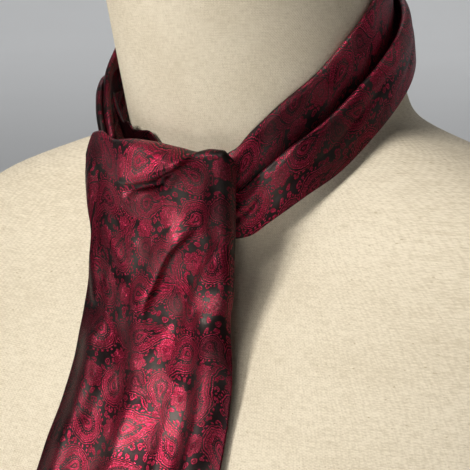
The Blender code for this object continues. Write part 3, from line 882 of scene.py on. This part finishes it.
def front_blade(finish):
    width = 88.0
    across = spread(width + 8, 118)
    share = np.clip(across / width, 0, 1)
    past = np.clip(across - width, 0, None)
    side_turn = np.clip(past / SIDE_RADIUS, 0, math.pi / 2)
    side_run = np.clip(past - SIDE_RADIUS * math.pi / 2, 0, None)
    turned_x = SIDE_RADIUS * np.sin(side_turn) - SIDE_RADIUS
    turned_y = SIDE_RADIUS * (1 - np.cos(side_turn)) + side_run
    flat_x = SIDE_RADIUS * side_turn - SIDE_RADIUS + side_run
    crest_x = blade_edges(share, CREST_LEVEL) + turned_x * share
    roll = read(CREST, CREST_COLUMNS, "roll", crest_x) * (1 - np.sin(side_turn))
    radius = ROLL_LEAST + (ROLL_RADIUS - ROLL_LEAST) * roll
    back_run = BACK_LEAST + (BACK_RUN - BACK_LEAST) * roll
    crest = read(CREST, CREST_COLUMNS, "level", crest_x) - 0.8 * turned_y - 0.6 * side_run
    centre = crest - radius
    front = blade_depth(crest_x, centre) + turned_y
    rise = BLADE_POINT * np.abs(2 * share - 1) + POINT_SLOPE * (flat_x + SIDE_RADIUS)
    crest_run = blade_edges(share, CREST_LEVEL) + past
    grid, cloth = [], []
    for part in 1 - spread(BACK_RUN, 12)[:-4] / BACK_RUN:
        grid.append(np.stack([crest_x, front + 2 * radius, centre - back_run * part], axis=1))
        cloth.append(np.stack([crest_run, math.pi * radius + back_run * part], axis=1))
    swell_up = read(SWELL, SWELL_COLUMNS, "up", crest_x)
    swell_forward = read(SWELL, SWELL_COLUMNS, "forward", crest_x)
    for turn in np.linspace(0, math.pi, 19)[:-1]:
        y = front + radius * (1 + math.cos(turn)) - swell_forward * ease(0.15, 0.9, turn / math.pi)
        z = centre + (radius + swell_up) * math.sin(turn)
        place = np.stack([crest_x, y, z], axis=1)
        grid.append(place + leaning_shift(crest_x, z) * ease(0.35, 1.0, turn / math.pi))
        cloth.append(np.stack([crest_run, radius * (math.pi - turn)], axis=1))
    drops = np.concatenate([np.linspace(0, 36, 66)[:-1], np.linspace(36, 78, 46)[:-1], np.linspace(78, BLADE_DROP, 156)])
    for drop in list(drops[:-1]) + [BLADE_DROP - e for e in EDGE_LOOPS[::-1]]:
        point = ease(POINT_START, 1.0, drop / BLADE_DROP) * rise
        level = centre + (CREST_LEVEL - ROLL_RADIUS - centre) * ease(*CREST_FADE, drop)
        z = level - drop + point
        flat = ease(*SIDE_FADE, drop)
        x = blade_edges(share, z) + (turned_x * (1 - flat) + flat_x * flat) * share
        settle = ease(0, 30, drop)
        x = crest_x * (1 - settle) + x * settle
        y = blade_depth(x, z) + turned_y * (1 - flat) - fold_height(x, z, BLADE_FOLDS) * ease(*FOLD_FADE, drop)
        above = beside(LEANING_FOLDS[LOBE][0], x, z)[0]
        y = y - swell_forward * ease(-0.8, 1.8, above) * (1 - ease(12, 16, drop))
        grid.append(np.stack([x, y, z], axis=1) + leaning_shift(x, z))
        cloth.append(np.stack([blade_edges(share, z) + past, z - centre], axis=1))
    cloth = np.array(cloth) + BLADE_PLACE
    return silk_sheet("front_blade_silk", np.array(grid), cloth, finish)


def under_blade(finish):
    across = spread(90.0, 80) / 90.0
    grid, cloth = [], []
    for drop in spread(UNDER_DROP, 180):
        share = drop / UNDER_DROP
        z = UNDER_TOP - drop + BLADE_POINT * np.abs(2 * across - 1) * ease(POINT_START, 1.0, share)
        left = read(UNDER, UNDER_TABLE_COLUMNS, "left", z)
        right = read(UNDER, UNDER_TABLE_COLUMNS, "right", z)
        x = left + (right - left) * across
        y = blade_depth(x, z) + LAYER - np.minimum(fold_height(x, z, BLADE_FOLDS), 0)
        y = y + fold_height(x, z, UNDER_FOLDS)
        grid.append(np.stack([x, y, z], axis=1))
        cloth.append(np.stack([x, z], axis=1))
    return silk_sheet("under_blade_silk", np.array(grid), np.array(cloth), finish)


def fold_arc(middle, drop, radius, over):
    """A half turn of cloth from one layer to the next outside it, over a top edge or under a low one."""
    way = -1 if over else 1
    turns = np.linspace(math.pi, 0, 9)
    return [(middle + radius * math.cos(t), drop + way * radius * math.sin(t)) for t in turns]


def pleat_section(first, second, drop, low, turn_in, height):
    """The neckband's section as (distance off the neck, distance below the top edge) points."""
    half = LAYER / 2
    inner = first - LAYER
    back = second - LAYER
    section = [(inner, turn_in), (inner, turn_in / 2 + half / 2)]
    section += fold_arc(inner + half, half, half, True)
    section += [(first + 0.8, 2.2), (first + 1.2, 4.2), (first + 1.0, drop * 0.5 + 3), (first, drop + 1)]
    hidden = (back - first) / 2
    section += fold_arc(first + hidden, drop + HIDDEN_FOLD, hidden, False)
    section += [(back, drop + HIDDEN_FOLD / 2)]
    section += fold_arc(back + half, drop + half, half, True)
    rest = height - drop
    section.append((second + 0.8, drop + 2.3))
    for share, belly in ((0.2, 1.3), (0.45, 1.3), (0.75, 0.7), (1.0, 0.0)):
        section.append((second + (low - second) * share + belly, drop + rest * share))
    return np.array(section)


def even_section(section, count):
    """The section's points spread evenly along it, with close ones at its two edges."""
    step = np.linalg.norm(np.diff(section, axis=0), axis=1)
    run = np.concatenate([[0], np.cumsum(step)])
    places = spread(run[-1], count)
    return np.stack([smooth(places, run, section[:, i]) for i in (0, 1)], axis=1), places


def band_crease(angle, share):
    """How far the creases push the band off the neck, at a whole turn's angle and a share across."""
    raised = np.zeros(share.shape)
    for row in BAND_CREASES:
        crease = dict(zip(CREASE_COLUMNS, row))
        along = (angle - crease["start"]) / (crease["end"] - crease["start"])
        middle = crease["from_share"] + (crease["to_share"] - crease["from_share"]) * along
        fade = ease(-0.15, 0.25, along) * (1 - ease(0.75, 1.15, along))
        across = (share - middle) * 80.0 / crease["width"]
        raised = raised + crease["depth"] * fade * np.exp(-(across**2))
    return raised


def neckband(finish):
    """The whole pleated band, from the wearer's left of the throat round the back to the right."""
    turns = list(np.linspace(LEFT_END, 360 - RIGHT_END, 330))
    grid, cloth = [], []
    for angle in turns:
        side, table = (1, LEFT_PLEATS) if angle <= 180 else (-1, RIGHT_PLEATS)
        front_angle = angle if angle <= 180 else 360 - angle
        values = [read(table, PLEAT_COLUMNS, key, front_angle) for key in PLEAT_COLUMNS[1:-1]]
        height = read(BAND_EDGE, EDGE_COLUMNS, "height", front_angle)
        top = read(BAND_EDGE, EDGE_COLUMNS, "top", front_angle) - read(table, PLEAT_COLUMNS, "sink", front_angle)
        section, places = even_section(pleat_section(*values, height), 92)
        share = places / places[-1]
        seen = ease(0.55, 0.62, share)
        off = section[:, 0] + band_crease(angle, share) * seen
        grid.append(neck_point(np.full(len(section), side * front_angle), top - section[:, 1], off))
        along = math.radians(angle) * (NECK_RADIUS + 6)
        cloth.append(np.stack([np.full(len(places), along + BAND_PLACE), -places], axis=1))
    return silk_sheet("neckband_silk", np.array(grid), np.array(cloth), finish)


def knot_inner(finish):
    angles = np.linspace(INNER_EDGE[0][0], INNER_EDGE[-1][0], 90)
    top, off, low = (read(INNER_EDGE, INNER_COLUMNS, key, angles) for key in INNER_COLUMNS[1:])
    grid, cloth = [], []
    for share in spread(40, 50) / 40:
        along = top + (low - top) * share
        lean = off * (1 - 0.45 * share) - 0.6 * (1 - share) ** 4
        grid.append([neck_point(a, s, o) for a, s, o in zip(angles, along, lean)])
        cloth.append(np.stack([np.radians(angles) * NECK_RADIUS, along], axis=1))
    return silk_sheet("knot_inner_silk", np.array(grid), np.array(cloth), finish)


def knot_wrap(finish):
    share = 0.10 + 0.83 * spread(72, 80) / 72
    x = blade_edges(share, CREST_LEVEL)
    roll = read(CREST, CREST_COLUMNS, "roll", x)
    start = read(CREST, CREST_COLUMNS, "level", x) - WRAP_TOP - WRAP_DUCK * (1 - ease(0.3, 0.55, roll))
    joined = 1 - ease(share[0], 0.266, share)[:, None]
    edge_top = read(BAND_EDGE, EDGE_COLUMNS, "top", WRAP_SEAM) - read(RIGHT_PLEATS, PLEAT_COLUMNS, "sink", WRAP_SEAM)
    edge_height = read(BAND_EDGE, EDGE_COLUMNS, "height", WRAP_SEAM)
    edge_drop = read(RIGHT_PLEATS, PLEAT_COLUMNS, "drop", WRAP_SEAM)
    edge_off = [read(RIGHT_PLEATS, PLEAT_COLUMNS, key, WRAP_SEAM) for key in ("second", "low")]
    grid, cloth = [], []
    for down in spread(WRAP_HEIGHT, 42) / WRAP_HEIGHT:
        z = start - WRAP_HEIGHT * down
        y = blade_depth(x, z) + LAYER - np.minimum(fold_height(x, z, BLADE_FOLDS), 0)
        free = np.stack([x, y, z], axis=1)
        off = edge_off[0] + (edge_off[1] - edge_off[0]) * down
        held = neck_point(-RIGHT_END, edge_top - edge_drop - (edge_height - edge_drop) * down, off)
        grid.append(held * joined + free * (1 - joined))
        cloth.append(np.stack([x, z], axis=1))
    return silk_sheet("knot_wrap_silk", np.array(grid), np.array(cloth), finish)


def linen_cover(finish):
    """The form's linen, a finer surface on the CAD form's own mesh."""
    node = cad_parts["dress_form"]
    mesh = node.data.copy()
    mesh.name = "linen_cover"
    piece = bpy.data.objects.new("linen_cover", mesh)
    bpy.context.scene.collection.objects.link(piece)
    work = bmesh.new()
    work.from_mesh(mesh)
    bmesh.ops.remove_doubles(work, verts=work.verts, dist=0.01 * MM)
    bmesh.ops.join_triangles(
        work, faces=work.faces, angle_face_threshold=math.radians(40), angle_shape_threshold=math.radians(60)
    )
    crease = work.edges.layers.float.new("crease_edge")
    for edge in work.edges:
        if edge.is_manifold and edge.calc_face_angle() > math.radians(50):
            edge[crease] = 1.0
    work.to_mesh(mesh)
    work.free()
    mesh.shade_smooth()
    refine = piece.modifiers.new("refine", "SUBSURF")
    refine.levels = refine.render_levels = 2
    mesh.materials.clear()
    mesh.materials.append(finish)
    return piece


def place(piece, slot, *nodes):
    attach(piece, "root")
    if nodes:
        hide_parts(*nodes)


def add_light(name, azimuth, elevation, distance, size, power, colour=(1, 1, 1)):
    data = bpy.data.lights.new(name, "AREA")
    data.size = size
    data.energy = power
    data.color = colour
    light = bpy.data.objects.new(name, data)
    bpy.context.scene.collection.objects.link(light)
    a, e = math.radians(azimuth), math.radians(elevation)
    back = Vector((math.sin(a) * math.cos(e), -math.cos(a) * math.cos(e), math.sin(e)))
    light.location = CAMERA_TARGET + back * distance
    light.rotation_euler = back.to_track_quat("Z", "Y").to_euler()


def add_backdrop_lights():
    """Wide lights over the far floor, which is the backdrop that the camera sees."""
    for x, y, power in BACKDROP_LIGHTS:
        data = bpy.data.lights.new("backdrop", "AREA")
        data.size = 7.0
        data.energy = power
        light = bpy.data.objects.new("backdrop", data)
        bpy.context.scene.collection.objects.link(light)
        light.location = (x, y, BACKDROP_HEIGHT)


def add_camera():
    data = bpy.data.cameras.new("camera")
    data.sensor_width = CAMERA_SENSOR
    data.lens = CAMERA_LENS
    camera = bpy.data.objects.new("camera", data)
    bpy.context.scene.collection.objects.link(camera)
    level = math.cos(CAMERA_ELEVATION)
    back = Vector((
        math.sin(CAMERA_AZIMUTH) * level,
        -math.cos(CAMERA_AZIMUTH) * level,
        math.sin(CAMERA_ELEVATION),
    ))
    camera.location = CAMERA_TARGET + back * CAMERA_DISTANCE
    camera.rotation_euler = back.to_track_quat("Z", "Y").to_euler()
    bpy.context.scene.camera = camera


def add_studio():
    steps = 96
    turns = np.linspace(0, 2 * math.pi, steps, endpoint=False)
    rings = [np.stack([r * np.cos(turns), r * np.sin(turns), np.full(steps, z)], axis=1) for r, z in STUDIO]
    faces = [list(range(steps))]
    for row in range(len(rings) - 1):
        for column in range(steps):
            beside_it = (column + 1) % steps
            low, high = row * steps, (row + 1) * steps
            faces.append([low + column, high + column, high + beside_it, low + beside_it])
    mesh = bpy.data.meshes.new("studio")
    mesh.from_pydata(np.concatenate(rings).tolist(), [], faces)
    mesh.shade_smooth()
    floor = bpy.data.objects.new("studio", mesh)
    bpy.context.scene.collection.objects.link(floor)
    floor.data.materials.append(floor_material())
    world = bpy.data.worlds.new("studio")
    world.use_nodes = True
    world.node_tree.nodes["Background"].inputs["Color"].default_value = (0.95, 0.97, 1.0, 1)
    world.node_tree.nodes["Background"].inputs["Strength"].default_value = 0.03
    add_light("key", -14, 27, 1.7, 0.42, 23, (1.0, 0.98, 0.94))
    add_light("top", 4, 60, 1.6, 0.4, 8, (1.0, 0.98, 0.95))
    add_light("rim", 205, 50, 1.8, 0.9, 2, (1.0, 0.99, 0.97))
    add_light("fill", 30, -16, 1.3, 0.2, 1.6, (1.0, 0.98, 0.96))
    add_backdrop_lights()
    bpy.context.scene.view_settings.view_transform = "Standard"


def main():
    add_camera()
    add_studio()
    silk = silk_material("burgundy_paisley_jacquard")
    # A darker copy of the silk, at 0.55 of its colours: partly the duller reverse side of the cloth, partly painted
    # shade inside the knot and on the wrap
    shaded = silk_material("burgundy_paisley_reverse_shaded", 0.55)
    place(linen_cover(linen_material()), "cream_linen", "dress_form")
    band = neckband(silk)
    place(band, "burgundy_paisley_silk", "neckband_left", "neckband_right")
    blade = front_blade(silk)
    place(blade, "burgundy_paisley_silk", "front_blade")
    under = under_blade(silk)
    place(under, "burgundy_paisley_silk", "under_blade")
    inner = knot_inner(shaded)
    place(inner, "burgundy_silk_reverse", "knot_inner")
    wrap = knot_wrap(shaded)
    place(wrap, "burgundy_silk_reverse", "knot_wrap")


main()
